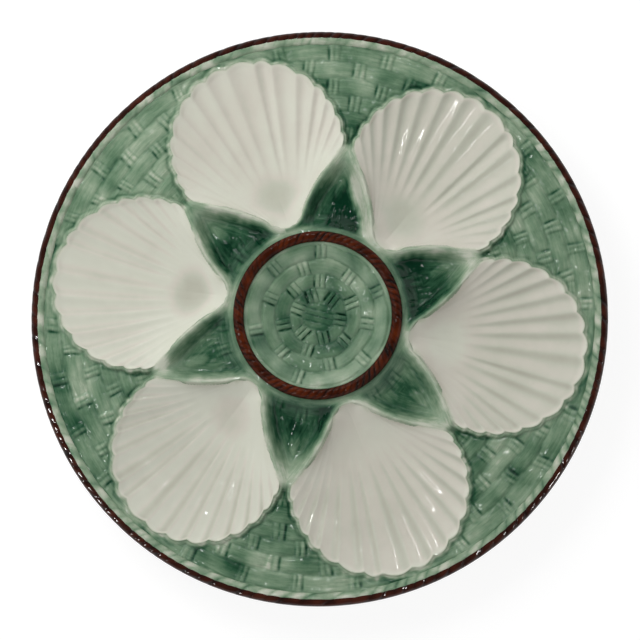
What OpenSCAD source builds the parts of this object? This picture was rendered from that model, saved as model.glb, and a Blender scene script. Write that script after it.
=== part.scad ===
// Oyster plate: six scallop-shell wells set in a basket-weave ground round a sauce well.
// The plate is one fired clay body, pressed on its face and turned on its back. Each node is one
// moulded member of it, parted from its neighbours along the edge of its glaze, and the members
// meet face to face.
// Millimetres. +Z is up, the table is at z = 0 and the plate's axis is the Z axis.

/* [Clay] */
// Thickness of the clay where a shell is deepest
wall = 4.7; // [3.5:0.1:6]
// Thickness of the clay under the rim
rim_wall = 3.8; // [3:0.1:6]
// Height of the foot ring
foot_h = 4; // [2.5:0.1:8]
// Width of the foot ring where it stands
foot_w = 4.2; // [3:0.1:6]
// How much wider each side of the foot ring is at its root
foot_draft = 0.9; // [0:0.1:1.5]
// Distance from the tips of the shells to the middle of the foot ring
foot_setback = 19.5; // [12:0.5:24]
// Width of the flat of the back outside the foot ring
heel_w = 9; // [8:0.5:16]

/* [Sauce well] */
// Inner radius of the sauce well's rope
well_r = 31.8; // [31:0.1:36]
// Depth of the sauce well below the foot of its rope
well_depth = 7.6; // [5:0.1:9]
// Plain clay between the rope and the weave of the sauce well
well_ledge = 1.2; // [0.8:0.1:1.5]
// Rows of weave in the sauce well
well_rows = 4; // [3:1:4]
// Width of one of those rows
well_row_w = 6; // [5:0.1:6.2]
// Stake pairs in one full turn of such a row
well_stakes = 6; // [5:1:8]
// Bearing of the first of those pairs, in degrees
well_bearing = 12; // [0:1:59]
// Width of the rope round the sauce well
well_rope_w = 4.6; // [3:0.1:5]
// Height of that rope above the clay beside it
well_rope_h = 2.2; // [1.2:0.1:3]
// Strands of that rope
well_rope_strands = 72; // [48:1:90]

/* [Shell wells] */
// Bearing of the first shell's axis, in degrees
shell_bearing = 50; // [0:1:59]
// Clay between the rope and the tip of a shell
tip_gap = 3.5; // [3.3:0.1:7]
// Least clay between a shell and the line half way to its neighbour
shell_gap = 0.9; // [0.5:0.1:2]
// Length of a shell, from its tip to its scalloped margin
shell_len = 75; // [72:0.5:80]
// Width of a shell at its widest
shell_w = 75; // [70:0.5:76]
// Radius of the rounded tip
tip_r = 9.5; // [8:0.1:11]
// Half angle of the fan of flutes, in degrees
fan_angle = 51.4; // [48:0.1:52]
// How far the flanks bow in between tip and margin
flank_bow = 1.7; // [0:0.1:3]
// How far the tip leans clockwise off the shell's axis
tip_lean = 1.8; // [0:0.1:2.5]
// Depth of a shell below its lip
shell_depth = 10.6; // [7:0.1:12]
// Number of flutes
flutes = 16; // [12:2:18]
// Depth of a flute below the crests beside it
flute_d = 1; // [0.4:0.1:1.4]
// How far the margin is notched between two flutes
notch = 1.5; // [0.6:0.1:1.8]

/* [Basket ground] */
// Depth of the pockets between the shell tips, below the lip
pocket_depth = 5.2; // [4:0.1:7]
// Rise of the shells' lip from the tip to the margin
lip_rise = 6.8; // [5:0.1:9]
// Height of the lip above the ground at the margin
lip_step = 1.4; // [0.8:0.1:2.5]
// Clay between the margin of a shell and the rim
margin_gap = 1.8; // [1.6:0.1:5]
// Rows of weave, counted in from the rim
weave_rows = 4; // [3:1:4]
// Width of one row
row_w = 6.8; // [6:0.1:7]
// How far the strands of a row swell above the ground
strand_h = 0.9; // [0.5:0.1:1.2]
// Stake pairs in one full turn of a row
stakes = 30; // [24:6:36]
// Width of one stake
stake_w = 2.3; // [1.8:0.1:2.6]
// Width of the grooves beside and between the stakes
groove_w = 0.7; // [0.5:0.1:0.9]
// Depth of those grooves below the top of the strands
groove_d = 1; // [0.5:0.1:1.3]

/* [Rim] */
// Depth of the groove between two strands of a rope
lay_d = 0.5; // [0.3:0.1:0.8]
// Width of the rope round the rim
rim_w = 5.8; // [5:0.1:8]
// Width of the rope's outer part, which has its own glaze
rim_band_w = 2.7; // [1.8:0.1:3]
// Height of the rope above the ground
rim_h = 3.2; // [2:0.1:4]
// Strands of the rope round the rim
rim_strands = 132; // [96:1:150]

/* [Hidden] */
$fn = 96;

shells = 6;                // the plate has six shells, one node each
over = 1;                  // overrun of a cut beyond the face it goes through
flute_steps = 3;           // facets across one flute
run_steps = 9;             // facets along one flute
arc_steps = 4;             // steps across a rounded strand or rope
back_steps = 5;            // steps from the heel to the rim, under the ground

// Radii, built up from the middle of the plate. The shells keep clear of the rope and of each
// other, so wider shells make a wider ring.
well_rope_r = well_r + well_rope_w;
margin_r = shell_w / 2;
tip_at = max(well_rope_r + tip_gap,
             (margin_r + shell_gap) / sin(180 / shells) + margin_r - shell_len);
margin_at = tip_at + shell_len;
ground_r = margin_at + margin_gap;
plate_r = ground_r + rim_w;
band_r = plate_r - rim_band_w;
foot_r = tip_at + foot_setback;
base_r = foot_r + foot_w / 2 + heel_w;

deep_share = 0.4;          // how far along a shell it is deepest

// Levels, built up from the table. The lip rises along a cone from the tips to the margins.
lip_z = foot_h + wall + shell_depth - deep_share * lip_rise;
function lip_at(r) = lip_z + lip_rise * (r - tip_at) / shell_len;

function mix(a, b, t) = a + (b - a) * t;
function arch(t) = sin(180 * t);
function reversed(list) = [for (i = [len(list) - 1:-1:0]) list[i]];

// The ground's profile. Each pair is a place along a shell, as a share of its length, and the
// height there, as a share of the way from the pockets' floor up to the lip.
ground_shares = [[-0.026, 0.86], [0.035, 0.16], [0.08, 0], [0.25, 0], [0.31, 0.22], [0.38, 0.78],
                 [0.425, 0.9], [0.45, 0.85], [0.485, 0.62]];
ground_knots = concat(
    [[well_rope_r, lip_z]],
    [for (s = ground_shares)
        let (r = tip_at + s[0] * shell_len) [r, mix(lip_z - pocket_depth, lip_at(r), s[1])]],
    [[margin_at, lip_at(margin_at) - lip_step],
     [ground_r, lip_at(ground_r) - lip_step]]);
function ground_at(r) = lookup(r, ground_knots);
rim_z = ground_at(ground_r);

// The back is turned: flat as far as the heel, then a curve up to the rim
sweep = 1.3;               // power of that curve
function back_at(r) = foot_h
    + (rim_z - rim_wall - foot_h) * pow(max(0, r - base_r) / (plate_r - base_r), sweep);
function back_line(from, to) =
    [for (i = [0:back_steps]) let (r = mix(from, to, i / back_steps)) [r, back_at(r)]];

// Shell wells. A shell is a grid of points: q runs across the fan from -1 to 1, one unit a
// flank, and t runs along a flute from the tip at 0 to the margin at 1. Its own plane has u
// outwards from the tip and v counter-clockwise.
middle_share = 0.2;        // how much wider the middle flutes are than the flutes by the flanks
skew_share = 0.7;          // where a flute is deepest, across its width
fullness = 0.7;            // shape of a shell's walls: 1 is a parabola, less is fuller
fade_share = 0.5;          // the flutes reach their depth this far along a shell
full_share = 0.25;         // and where the shell is this much as deep as it gets

fan_back = tip_r / sin(fan_angle) - tip_r;       // the apex of the fan, behind the tip
fan_reach = fan_back + shell_len - margin_r;     // from that apex to the margin's centre

function across(q) = q * (1 + middle_share * (1 - q * q));

// The rounded tip, whose circle the flanks leave on a tangent
function tip_point(q) =
    let (a = 180 - across(q) * (90 - fan_angle)) [tip_r + tip_r * cos(a), tip_r * sin(a)];

// The margin, a circle seen from the fan's apex and notched between the flutes
function margin_point(q, f) =
    let (a = fan_angle * across(q),
         side = fan_reach * sin(a),
         rho = fan_reach * cos(a) + sqrt(max(0, margin_r * margin_r - side * side)),
         cut = notch * (1 - arch(f)))
    [(rho - cut) * cos(a) - fan_back, (rho - cut) * sin(a)];

// A point in the plate's plane, with the bow of the flanks and the lean of the tip
function shell_point(k, q, f, t) =
    let (p = mix(tip_point(q), margin_point(q, f), t),
         lean = tip_lean * pow(1 - p[0] / shell_len, 2),
         x = tip_at + p[0],
         y = p[1] - flank_bow * pow(q, 3) * arch(t) / cos(fan_angle) - lean,
         a = shell_bearing + k * 360 / shells)
    [x * cos(a) - y * sin(a), x * sin(a) + y * cos(a)];

// How deep a shell is, from 0 along its edge to 1 at its deepest
function bowl(q, t) =
    let (s = across(q), w = pow(t, ln(0.5) / ln(deep_share)))
    pow((1 - s * s) * 4 * w * (1 - w), fullness);

// A flute's hollow across its width, from 0 at its crests to 1 at its deepest
function hollow(f) = f < skew_share ? sin(90 * f / skew_share)
                                    : cos(90 * (f - skew_share) / (1 - skew_share));

function shell_top(q, f, t, r) =
    let (b = bowl(q, t), fade = min(1, t / fade_share) * min(1, b / full_share))
    lip_at(r) - shell_depth * b - flute_d * fade * fade * hollow(f);

// A closed skin round two grids of points, rows of equal length, the first grid on top
module slab(top, under) {
    rows = len(top);
    cols = len(top[0]);
    size = rows * cols;
    function at(i, j, below = 0) = below * size + i * cols + j;
    function square(a, b, c, d) = [[a, b, c], [a, c, d]];
    faces = concat(
        [for (i = [0:rows - 2], j = [0:cols - 2])
            each square(at(i, j), at(i, j + 1), at(i + 1, j + 1), at(i + 1, j))],
        [for (i = [0:rows - 2], j = [0:cols - 2])
            each square(at(i, j, 1), at(i + 1, j, 1), at(i + 1, j + 1, 1), at(i, j + 1, 1))],
        [for (j = [0:cols - 2])
            each square(at(0, j), at(0, j, 1), at(0, j + 1, 1), at(0, j + 1))],
        [for (j = [0:cols - 2])
            each square(at(rows - 1, j), at(rows - 1, j + 1),
                        at(rows - 1, j + 1, 1), at(rows - 1, j, 1))],
        [for (i = [0:rows - 2])
            each square(at(i, 0), at(i + 1, 0), at(i + 1, 0, 1), at(i, 0, 1))],
        [for (i = [0:rows - 2])
            each square(at(i, cols - 1), at(i, cols - 1, 1),
                        at(i + 1, cols - 1, 1), at(i + 1, cols - 1))]);
    points = concat([for (row = top) each row], [for (row = under) each row]);
    polyhedron(points, faces, convexity = 6);
}

// Each place across a shell has its q and how far it is across its own flute
flute_places = [for (i = [0:flutes * flute_steps])
    [2 * i / (flutes * flute_steps) - 1, (i % flute_steps) / flute_steps]];
run_places = [for (j = [0:run_steps]) j / run_steps];

module shell_well(k) {
    color("ivory")
    slab([for (c = flute_places) [for (t = run_places)
             let (p = shell_point(k, c[0], c[1], t))
             [p[0], p[1], shell_top(c[0], c[1], t, norm(p))]]],
         [for (c = flute_places) [for (t = run_places)
             let (p = shell_point(k, c[0], c[1], t)) [p[0], p[1], back_at(norm(p))]]]);
}

// The outline of a shell, once round
function shell_outline(k) = concat(
    [for (c = flute_places) shell_point(k, c[0], c[1], 0)],
    [for (t = run_places) if (t > 0 && t < 1) shell_point(k, 1, 0, t)],
    reversed([for (c = flute_places) shell_point(k, c[0], c[1], 1)]),
    reversed([for (t = run_places) if (t > 0 && t < 1) shell_point(k, -1, 0, t)]));

module shell_cuts() {
    for (k = [0:shells - 1])
        linear_extrude(rim_z + strand_h + over)
            polygon(shell_outline(k));
}

// Whether a place on the plate is well inside a shell, where no weave shows
function in_shell(r, a) =
    let (off = (a - shell_bearing) % (360 / shells),
         side = min(abs(off), 360 / shells - abs(off)),
         along = r * cos(side) - (margin_at - margin_r))
    norm([along, r * sin(side)]) < margin_r - row_w / 2;

// Weave. A row of strands is a rounded ring, parted by pairs of stakes that cross it.
function row_line(edge, width, count) = [for (i = [count - 1:-1:0], j = [0:arc_steps - 1])
    [edge - (i + 1) * width + width * j / arc_steps, strand_h * arch(j / arc_steps)]];

// The three grooves of one stake pair, laid along the slope of the clay
module stake_cut(row_r, width, bearing, ground, slope) {
    for (j = [-1:1])
        rotate([0, 0, bearing + j * asin(stake_w / row_r)])
            translate([row_r, 0, ground + strand_h - groove_d])
                rotate([0, -slope, 0])
                    translate([-width / 2, -groove_w / 2, 0])
                        cube([width, groove_w, groove_d + over]);
}

module basket_ground() {
    weave_r = ground_r - weave_rows * row_w;
    step = row_w / 4;
    color("seagreen")
    difference() {
        rotate_extrude()
            polygon(concat(
                [for (p = ground_knots) if (p[0] < weave_r) p],
                [for (p = row_line(ground_r, row_w, weave_rows)) [p[0], ground_at(p[0]) + p[1]]],
                [[ground_r, rim_z]],
                reversed(back_line(base_r, ground_r)),
                [[well_rope_r, foot_h]]));
        shell_cuts();
        for (i = [0:weave_rows - 1], k = [0:stakes - 1])
            let (r = ground_r - (i + 0.5) * row_w,
                 stagger = i % 2 == 0 ? 0.5 : 0,
                 bearing = shell_bearing + 180 / shells + (k + stagger) * 360 / stakes,
                 slope = atan2(ground_at(r + step) - ground_at(r - step), 2 * step))
            if (!in_shell(r, bearing))
                stake_cut(r, row_w, bearing, ground_at(r), slope);
    }
}

// Sauce well: a round basin, woven in rows round a small eye of straight reeds
basin_power = 3;           // shape of the basin: 2 is a bowl, more is flatter with steeper sides
reeds = 5;                 // grooves across the eye
reed_bearing = -16;        // the way they run, in degrees
weave_edge_r = well_r - well_ledge;
eye_r = weave_edge_r - well_rows * well_row_w;
function basin_at(r) = lip_z - well_depth * (1 - pow(min(r, well_r) / well_r, basin_power));

module sauce_well() {
    step = well_row_w / 4;
    rows = row_line(weave_edge_r, well_row_w, well_rows);
    color("darkseagreen")
    difference() {
        rotate_extrude()
            polygon(concat(
                [[0, foot_h], [0, basin_at(0) + strand_h / 2]],
                [for (p = rows) [p[0], basin_at(p[0]) + p[1]]],
                [[weave_edge_r, basin_at(weave_edge_r)], [well_r, lip_z], [well_r, foot_h]]));
        for (i = [0:well_rows - 1], k = [0:well_stakes - 1])
            let (r = weave_edge_r - (i + 0.5) * well_row_w,
                 stagger = i % 2 == 0 ? 0 : 0.5,
                 bearing = well_bearing + (k + stagger) * 360 / well_stakes,
                 slope = atan2(basin_at(r + step) - basin_at(r - step), 2 * step))
            stake_cut(r, well_row_w, bearing, basin_at(r), slope);
        for (i = [1:reeds])
            let (y = eye_r * (2 * i / (reeds + 1) - 1),
                 half = sqrt(eye_r * eye_r - y * y) - groove_w)
            rotate([0, 0, reed_bearing])
                translate([-half, y - groove_w / 2, basin_at(0)])
                    cube([2 * half, groove_w, groove_d + over]);
    }
}

// Ropes. A rope is a rounded ring with a slanted groove between each strand and the next.
lay = 40;                  // slant of the strands off the rope's run, in degrees
lay_fade_share = 0.5;      // how early a groove fades out before the foot of the rope
function round_at(share) = sqrt(max(0, 1 - pow(2 * share - 1, 2)));

// The floor of a groove across a rope, which rises clear of the rope at both feet
function lay_floor(height, share) = let (swell = round_at(share))
    height * swell - lay_d * mix(-lay_fade_share, 1, swell);

// The grooves of a rope that lies between two radii, each an arched slot
module lay_cuts(from, to, base, height, strands) {
    width = (to - from) / cos(lay);
    out = width / 2 + over;
    top = height + over;
    edge = lay_floor(height, 0);
    for (k = [0:strands - 1])
        rotate([0, 0, k * 360 / strands])
            translate([(from + to) / 2, 0, base])
                rotate([90, 0, lay])
                    translate([0, 0, -lay_d / 2])
                        linear_extrude(lay_d)
                            polygon(concat(
                                [for (i = [0:arc_steps])
                                    let (share = i / arc_steps)
                                    [width * (share - 0.5), lay_floor(height, share)]],
                                [[out, edge], [out, top], [-out, top], [-out, edge]]));
}

module well_rope() {
    color("saddlebrown")
    difference() {
        rotate_extrude()
            polygon(concat(
                [for (i = [0:arc_steps]) [well_r + well_rope_w * i / arc_steps,
                                          lip_z + well_rope_h * round_at(i / arc_steps)]],
                [[well_rope_r, foot_h], [well_r, foot_h]]));
        lay_cuts(well_r, well_rope_r, lip_z, well_rope_h, well_rope_strands);
    }
}

// The part of the rim's rope between two radii
module rim_part(from, to) {
    difference() {
        rotate_extrude()
            polygon(concat(
                [for (i = [0:arc_steps])
                    let (r = mix(from, to, i / arc_steps))
                    [r, rim_z + rim_h * round_at((r - ground_r) / rim_w)]],
                [[to, back_at(to)], [from, back_at(from)]]));
        lay_cuts(ground_r, plate_r, rim_z, rim_h, rim_strands);
    }
}

module rim_rope() {
    color("palegreen") rim_part(ground_r, band_r);
}

module rim_band() {
    color("maroon") rim_part(band_r, plate_r);
}

module foot_ring() {
    root = foot_w / 2 + foot_draft;
    color("tan")
    rotate_extrude()
        polygon([[foot_r - foot_w / 2, 0], [foot_r + foot_w / 2, 0],
                 [foot_r + root, foot_h], [foot_r - root, foot_h]]);
}

rim_band();
rim_rope();
basket_ground();
shell_well(0);  // shell_well_1
shell_well(1);  // shell_well_2
shell_well(2);  // shell_well_3
shell_well(3);  // shell_well_4
shell_well(4);  // shell_well_5
shell_well(5);  // shell_well_6
well_rope();
sauce_well();
foot_ring();
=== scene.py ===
import bpy
import numpy as np
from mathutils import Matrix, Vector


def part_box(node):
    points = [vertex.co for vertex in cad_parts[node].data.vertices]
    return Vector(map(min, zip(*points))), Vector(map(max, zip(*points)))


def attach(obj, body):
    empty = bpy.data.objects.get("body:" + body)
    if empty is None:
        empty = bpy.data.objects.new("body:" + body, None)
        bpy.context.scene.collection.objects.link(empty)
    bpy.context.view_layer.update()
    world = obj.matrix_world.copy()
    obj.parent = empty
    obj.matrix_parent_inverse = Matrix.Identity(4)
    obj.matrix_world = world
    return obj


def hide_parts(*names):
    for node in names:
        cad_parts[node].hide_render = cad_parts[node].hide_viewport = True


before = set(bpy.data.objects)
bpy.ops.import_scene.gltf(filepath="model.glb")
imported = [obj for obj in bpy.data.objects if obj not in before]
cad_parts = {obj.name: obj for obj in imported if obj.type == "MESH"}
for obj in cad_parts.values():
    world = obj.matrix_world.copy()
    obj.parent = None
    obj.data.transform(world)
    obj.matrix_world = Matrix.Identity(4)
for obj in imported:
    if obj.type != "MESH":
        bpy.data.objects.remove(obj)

# The looks of a majolica oyster plate. Sizes here are in millimetres in the CAD frame, and
# buildPiece turns them into metres. Angles are in degrees, bearings counter-clockwise from +X. A
# name that ends in Range holds where a soft step starts and where it is whole, one that ends in
# Grain holds the size of a mottled pattern and the seed of its chance numbers, one that ends in
# Varied holds what varied takes after its pattern, and one that ends in Share or Shares holds no
# length.
mm = 0.001
deg = np.pi / 180
speck = 1e-9
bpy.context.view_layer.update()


# The level of a node's top, from its box
def topOf(node):
    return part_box(node)[1].z / mm


# How far a node reaches from the axis, from its box
def reachOf(node):
    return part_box(node)[1].x / mm


# The members' radii and levels come from the CAD nodes
rimR = reachOf("rim_band")
bandR = reachOf("rim_rope")
groundR = reachOf("basket_ground")
ropeR = reachOf("well_rope")
wellR = reachOf("sauce_well")
footTop = topOf("foot_ring")

# A shell well as in the CAD, its tip towards the axis. fan is half the angle between its flanks,
# which bow swells and lean turns aside, and rise is how far the lip climbs along it.
shell = {"count": 6, "bearing": 50.0, "tipGap": 3.5, "length": 75.0, "width": 75.0, "tipR": 9.5,
         "fan": 51.4, "bow": 1.7, "lean": 1.8, "depth": 10.6, "deepShare": 0.4, "rise": 6.8,
         "flutes": 16, "fluteDepth": 1.0, "notch": 1.5, "middleShare": 0.2, "skewShare": 0.7,
         "fullness": 0.7, "fadeShares": (0.24, 0.56), "unevenShare": 0.018, "seed": 7}
rope = {"height": 2.2, "strands": 72, "rimHeight": 3.2, "rimStrands": 132}
tipAt = ropeR + shell["tipGap"]
marginAt = tipAt + shell["length"]
marginR = shell["width"] / 2
lipZ = topOf("well_rope") - rope["height"]
rimZ = topOf("rim_rope") - rope["rimHeight"]
pitch = 360 / shell["count"]
firstPocket = shell["bearing"] + pitch / 2


# Mesh writing

pieces = []


# Writes points (n x 3, millimetres) and faces (lists of quads and of triangles) into a smooth mesh,
# with one value or vector per point for each named attribute, parents the piece to the root body
# and hides the CAD nodes it stands for.
# Edges between two points of rim are creased.
def buildPiece(name, points, quads, tris, values, material, nodes, rim=()):
    points = np.asarray(points, float) * mm
    quads = np.asarray(quads, np.int32).reshape(-1, 4)
    tris = np.asarray(tris, np.int32).reshape(-1, 3)
    mesh = bpy.data.meshes.new(name)
    mesh.vertices.add(len(points))
    mesh.vertices.foreach_set("co", points.astype(np.float32).ravel())
    mesh.loops.add(quads.size + tris.size)
    mesh.loops.foreach_set("vertex_index", np.concatenate([quads.ravel(), tris.ravel()]))
    mesh.polygons.add(len(quads) + len(tris))
    starts = np.concatenate([np.arange(len(quads)) * 4, quads.size + np.arange(len(tris)) * 3])
    mesh.polygons.foreach_set("loop_start", starts.astype(np.int32))
    mesh.polygons.foreach_set("use_smooth", np.ones(len(starts), bool))
    mesh.update(calc_edges=True)
    if len(rim):
        ends = np.empty(len(mesh.edges) * 2, np.int32)
        mesh.edges.foreach_get("vertices", ends)
        onRim = np.isin(ends, rim).reshape(-1, 2).all(1)
        mesh.attributes.new("sharp_edge", "BOOLEAN", "EDGE").data.foreach_set("value", onRim)
    for label, value in values.items():
        value = np.asarray(value, np.float32)
        kind, field = ("FLOAT_VECTOR", "vector") if value.ndim == 2 else ("FLOAT", "value")
        layer = mesh.attributes.new(label, kind, "POINT")
        layer.data.foreach_set(field, value.ravel())
    piece = bpy.data.objects.new(name, mesh)
    pieces.append(piece)
    bpy.context.scene.collection.objects.link(piece)
    mesh.materials.append(material)
    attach(piece, "root")
    if nodes:
        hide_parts(*nodes)
    print(name, len(quads) * 2 + len(tris), "triangles")
    return piece


# Quads between the rows and columns of a grid, columns closed into a ring where asked. With rows
# outwards and columns counter-clockwise the faces look up.
def gridQuads(rows, cols, ring=False, start=0):
    i = np.arange(rows - 1)[:, None] * cols
    j = np.arange(cols if ring else cols - 1)[None, :]
    k = (j + 1) % cols
    return start + np.stack([i + j, i + cols + j, i + cols + k, i + k], -1).reshape(-1, 4)


# Quads of a hoop: those of its grid, and those that join its last row to its first
def hoopQuads(rows, cols):
    first, last = np.arange(cols), (rows - 1) * cols
    after = (first + 1) % cols
    under = np.stack([last + first, first, after, last + after], -1)
    return np.concatenate([gridQuads(rows, cols, ring=True), under])


# A closed loop of points joined to one middle point by triangles
def fanTris(loop, middle, flip=False):
    loop = np.asarray(loop)
    after = np.roll(loop, -1)
    sides = (after, loop) if flip else (loop, after)
    return np.stack([*sides, np.full(len(loop), middle)], -1)


# Points by their radii and bearings, the bearings in radians
def polar(r, a):
    return r * np.cos(a), r * np.sin(a)


# The points of a grid in one list
def listed(x, y, z):
    return np.stack([x, y, z], -1).reshape(-1, 3)


# Blurs a grid along both axes by so many cells, the columns as a ring: each pass is the mean of a
# point and its neighbours with weights 1, 2, 1
def blurred(grid, passesDown, passesRound):
    out = grid.copy()
    for _ in range(passesRound):
        out = (np.roll(out, 1, 1) + 2 * out + np.roll(out, -1, 1)) / 4
    for _ in range(passesDown):
        padded = np.concatenate([out[:1], out, out[-1:]])
        out = (padded[:-2] + 2 * padded[1:-1] + padded[2:]) / 4
    return out


# A soft step from 0 at low to 1 at high: 3 t^2 - 2 t^3
def smooth(x, low, high):
    t = np.clip((x - low) / (high - low), 0, 1)
    return t * t * (3 - 2 * t)


mottling = {"waves": 18, "pace": (0.6, 1.5)}


# Soft unevenness over the plate, about 1 either way: a sum of waves that run every way, each
# about as long as the size given in millimetres
def mottle(x, y, size, seed):
    chance = np.random.default_rng(seed)
    total = 0
    for _ in range(mottling["waves"]):
        way, phase = chance.uniform(0, 2 * np.pi, 2)
        wave = 2 * np.pi / size * chance.uniform(*mottling["pace"])
        total = total + np.cos(wave * (x * np.cos(way) + y * np.sin(way)) + phase)
    return total / np.sqrt(mottling["waves"] / 2)


# The way from a to b, by share
def mix(a, b, share):
    return a + (b - a) * share


# A soft ridge, 1 in its middle: exp(-((x - middle) / width)^2)
def ridge(x, middle, width):
    return np.exp(-((x - middle) / width) ** 2)


# A strength that varies with a pattern: mean + share x pattern, held between low and high
def varied(pattern, mean, share, low, high):
    return np.clip(mean + share * pattern, low, high)


# The plate's levels, as in the CAD

# The lips of the wells climb evenly towards the rim
def lipAt(r):
    return lipZ + shell["rise"] * (r - tipAt) / shell["length"]


back = {"wall": 3.8, "heel": 9.0, "footW": 4.2, "setback": 19.5, "sweep": 1.3, "cover": 0.8,
        "poleR": 0.3, "rimGap": 0.3, "flatRings": 30,
        "curveRings": 40, "columns": 360}
footR = tipAt + back["setback"]
baseR = footR + back["footW"] / 2 + back["heel"]


# The turned back: flat to baseR, then a power curve up to the rim
def backAt(r):
    rise = np.maximum(0, np.asarray(r, float) - baseR) / (rimR - baseR)
    return footTop + (rimZ - back["wall"] - footTop) * rise ** back["sweep"]


# Shell wells

apexBack = shell["tipR"] / np.sin(shell["fan"] * deg) - shell["tipR"]
apexReach = apexBack + shell["length"] - marginR


# Spreads the flutes: wider in the middle than by the flanks
def across(q):
    return q * (1 + shell["middleShare"] * (1 - q * q))


# A point of a shell in its own plane, x outwards and y counter-clockwise. The line t = 0 is the
# round tip, t = 1 the margin: a circle seen from the fan's apex and notched where f is 0.
def shellPoint(q, f, t):
    s = across(q)
    a = np.pi - s * (90 - shell["fan"]) * deg
    tipX, tipY = shell["tipR"] * (1 + np.cos(a)), shell["tipR"] * np.sin(a)
    a = s * shell["fan"] * deg
    rho = apexReach * np.cos(a) + np.sqrt(np.maximum(0, marginR ** 2
                                                     - (apexReach * np.sin(a)) ** 2))
    rho = rho - shell["notch"] * (1 - np.sin(np.pi * f))
    u = tipX + t * (rho * np.cos(a) - apexBack - tipX)
    v = tipY + t * (rho * np.sin(a) - tipY)
    v = v - shell["bow"] * q ** 3 * np.sin(np.pi * t) / np.cos(shell["fan"] * deg)
    v = v - shell["lean"] * (1 - u / shell["length"]) ** 2
    return tipAt + u, v


# Places across the fan and across their own flute. The flutes are a little uneven in width.
def fluteRun(perFlute):
    count = shell["flutes"]
    edges = np.linspace(-1, 1, count + 1)
    chance = np.random.default_rng(shell["seed"])
    edges[1:-1] += chance.uniform(-1, 1, count - 1) * shell["unevenShare"]
    place = np.arange(count * perFlute + 1)
    q = np.interp(place / perFlute, np.arange(count + 1), edges)
    return q, (place % perFlute) / perFlute, place / perFlute


# How deep a flute is across its width: 0 on its crests, 1 where it is deepest. The long side is
# half a sine and half a swell, so that the crest is soft there.
def hollow(f):
    k = shell["skewShare"]
    rising = 0.5 * np.sin(np.pi / 2 * f / k) + 0.25 * (1 - np.cos(np.pi * f / k))
    return np.where(f < k, rising, np.cos(np.pi / 2 * (f - k) / (1 - k)))


shellMesh = {"perFlute": 14, "rows": 150, "crowding": 0.35, "cover": 1.0, "lip": 0.7,
             "lipDrop": 0.12, "tipSlope": 1.15, "marginSlope": 0.55, "slopeRange": (22, 45),
             "blendPower": 4, "fluteRange": (0.1, 2.6), "fluteMean": 0.9, "fluteVary": 0.16,
             "fluteBeat": 2.4, "fluteBlur": 7, "hingeAt": (16.0, -1.0), "hingeSquash": 0.9,
             "hingeR": 14.0, "hingeFlatShare": 0.2, "hingeDepth": 0.3, "hingeRange": (1, 6),
             "sway": 0.035, "swayGrain": (9, 11), "calmRange": (0, 3)}
# Glaze of the shells, with painted shade in its darker marks; the last three hold one share for
# each shell
shellGlaze = {"hollow": 0.06, "line": 0.4, "lineAt": 0.84, "lineW": 0.21, "lineRange": (0.1, 1.4),
              "hingeRange": (2, 7), "bleedW": 0.9, "flankBleedW": 3.2, "bleed": 0.62,
              "flankBleed": 0.56, "bleedPast": 0.2, "flankRange": (0, 7),
              "flankEndRange": (22, 36), "cornerRange": (-2, 2),
              "crestPoolAndShadeShares": [0.62, 0.3, 0.9, 1.7, 1.0, 0.85],
              "hingePoolAndShadeShares": [0.28, 0.48, 0.74, 0.4, -0.02, -0.27],
              "paintedLightShares": [0.21, 0.03, -0.1, -0.1, 0.1, 0.2]}


# How steeply a well's wall leaves its edge, by the distance from the tip
def wallSlope(u):
    return mix(shellMesh["tipSlope"], shellMesh["marginSlope"], smooth(u, *shellMesh["slopeRange"]))


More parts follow.
